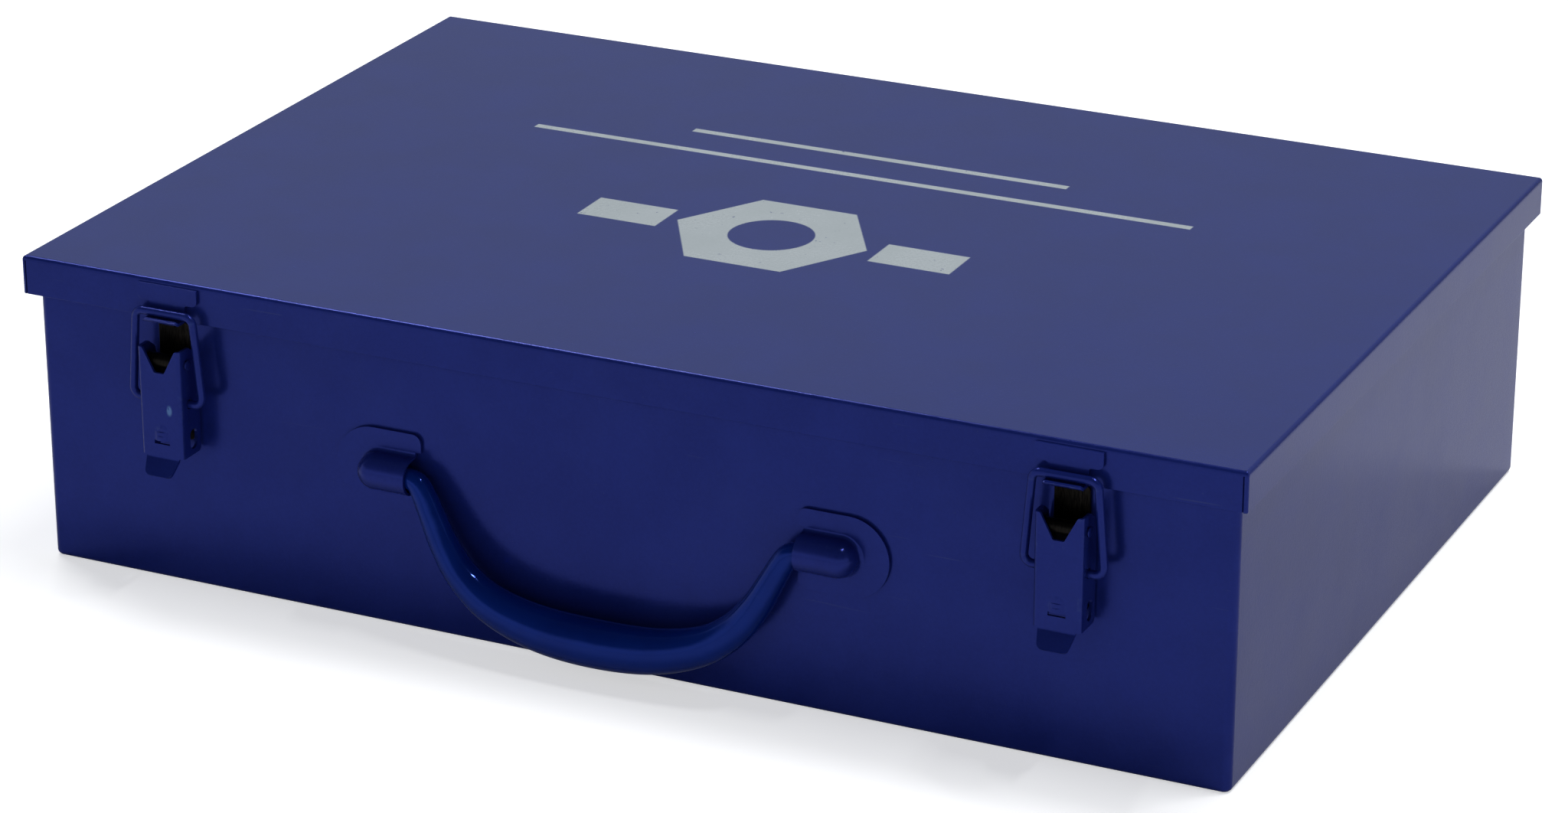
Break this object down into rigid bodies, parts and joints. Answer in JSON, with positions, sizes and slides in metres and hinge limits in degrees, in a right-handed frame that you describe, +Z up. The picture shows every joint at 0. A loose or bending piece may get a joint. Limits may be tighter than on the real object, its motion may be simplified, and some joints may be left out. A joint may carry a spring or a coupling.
{
  "type": "hinged steel tool case",
  "caption": "Shallow sheet-steel tool case with an overlapping hinged lid, over-centre toggle latches with wire bails, and a drop handle in stamped sockets.",
  "frame": {"origin": "the middle of the tray's underside, on the surface it stands on", "axes": "+Z up, +X to the right seen from the front, the front with the handle faces -Y"},
  "size_m": [0.44, 0.3185, 0.111],
  "materials": {
    "blue_paint": "semi-gloss dark blue powder coat",
    "handle_gloss": "glossy dark blue coating",
    "dark_steel": "unpainted dark steel",
    "plated_steel": "zinc plated steel"
  },
  "bodies": {
    "case": {"case_tray": "blue_paint", "left_handle_socket": "blue_paint", "left_latch_base": "dark_steel", "left_latch_pin": "blue_paint", "left_latch_rivet_1": "plated_steel", "left_latch_rivet_2": "plated_steel", "left_hinge_tray_leaf": "blue_paint", "left_hinge_pin": "plated_steel", "left_hinge_tray_rivet_1": "plated_steel", "left_hinge_tray_rivet_2": "plated_steel", "right_handle_socket": "blue_paint", "right_latch_base": "dark_steel", "right_latch_pin": "blue_paint", "right_latch_rivet_1": "plated_steel", "right_latch_rivet_2": "plated_steel", "right_hinge_tray_leaf": "blue_paint", "right_hinge_pin": "plated_steel", "right_hinge_tray_rivet_1": "plated_steel", "right_hinge_tray_rivet_2": "plated_steel"},
    "lid": {"lid_pan": "blue_paint", "left_keeper": "blue_paint", "left_hinge_lid_leaf": "blue_paint", "left_hinge_lid_rivet_1": "plated_steel", "left_hinge_lid_rivet_2": "plated_steel", "right_keeper": "blue_paint", "right_hinge_lid_leaf": "blue_paint", "right_hinge_lid_rivet_1": "plated_steel", "right_hinge_lid_rivet_2": "plated_steel"},
    "handle": {"carry_handle": "handle_gloss"},
    "left_lever": {"left_latch_lever": "blue_paint"},
    "left_bail": {"left_latch_bail": "blue_paint"},
    "right_lever": {"right_latch_lever": "blue_paint"},
    "right_bail": {"right_latch_bail": "blue_paint"}
  },
  "joints": [
    {"name": "lid_hinge", "type": "hinge", "parent": "case", "child": "lid", "pos_m": [0, 0.1518, 0.0945], "axis": [-1, 0, 0], "range_deg": [0, 110]},
    {"name": "handle_swing", "type": "hinge", "parent": "case", "child": "handle", "pos_m": [0, -0.1502, 0.057], "axis": [-1, 0, 0], "range_deg": [0, 150]},
    {"name": "left_lever_swing", "type": "hinge", "parent": "case", "child": "left_lever", "pos_m": [-0.162, -0.1527, 0.084], "axis": [-1, 0, 0], "range_deg": [0, 110]},
    {"name": "left_bail_swing", "type": "hinge", "parent": "left_lever", "child": "left_bail", "pos_m": [-0.162, -0.1518, 0.0696], "axis": [-1, 0, 0], "range_deg": [-110, 0]},
    {"name": "right_lever_swing", "type": "hinge", "parent": "case", "child": "right_lever", "pos_m": [0.162, -0.1527, 0.084], "axis": [-1, 0, 0], "range_deg": [0, 110]},
    {"name": "right_bail_swing", "type": "hinge", "parent": "right_lever", "child": "right_bail", "pos_m": [0.162, -0.1518, 0.0696], "axis": [-1, 0, 0], "range_deg": [-110, 0]}
  ],
  "couplings": [
    {"joint": "left_bail_swing", "follows": "left_lever_swing", "ratio": -1},
    {"joint": "right_bail_swing", "follows": "right_lever_swing", "ratio": -1}
  ]
}
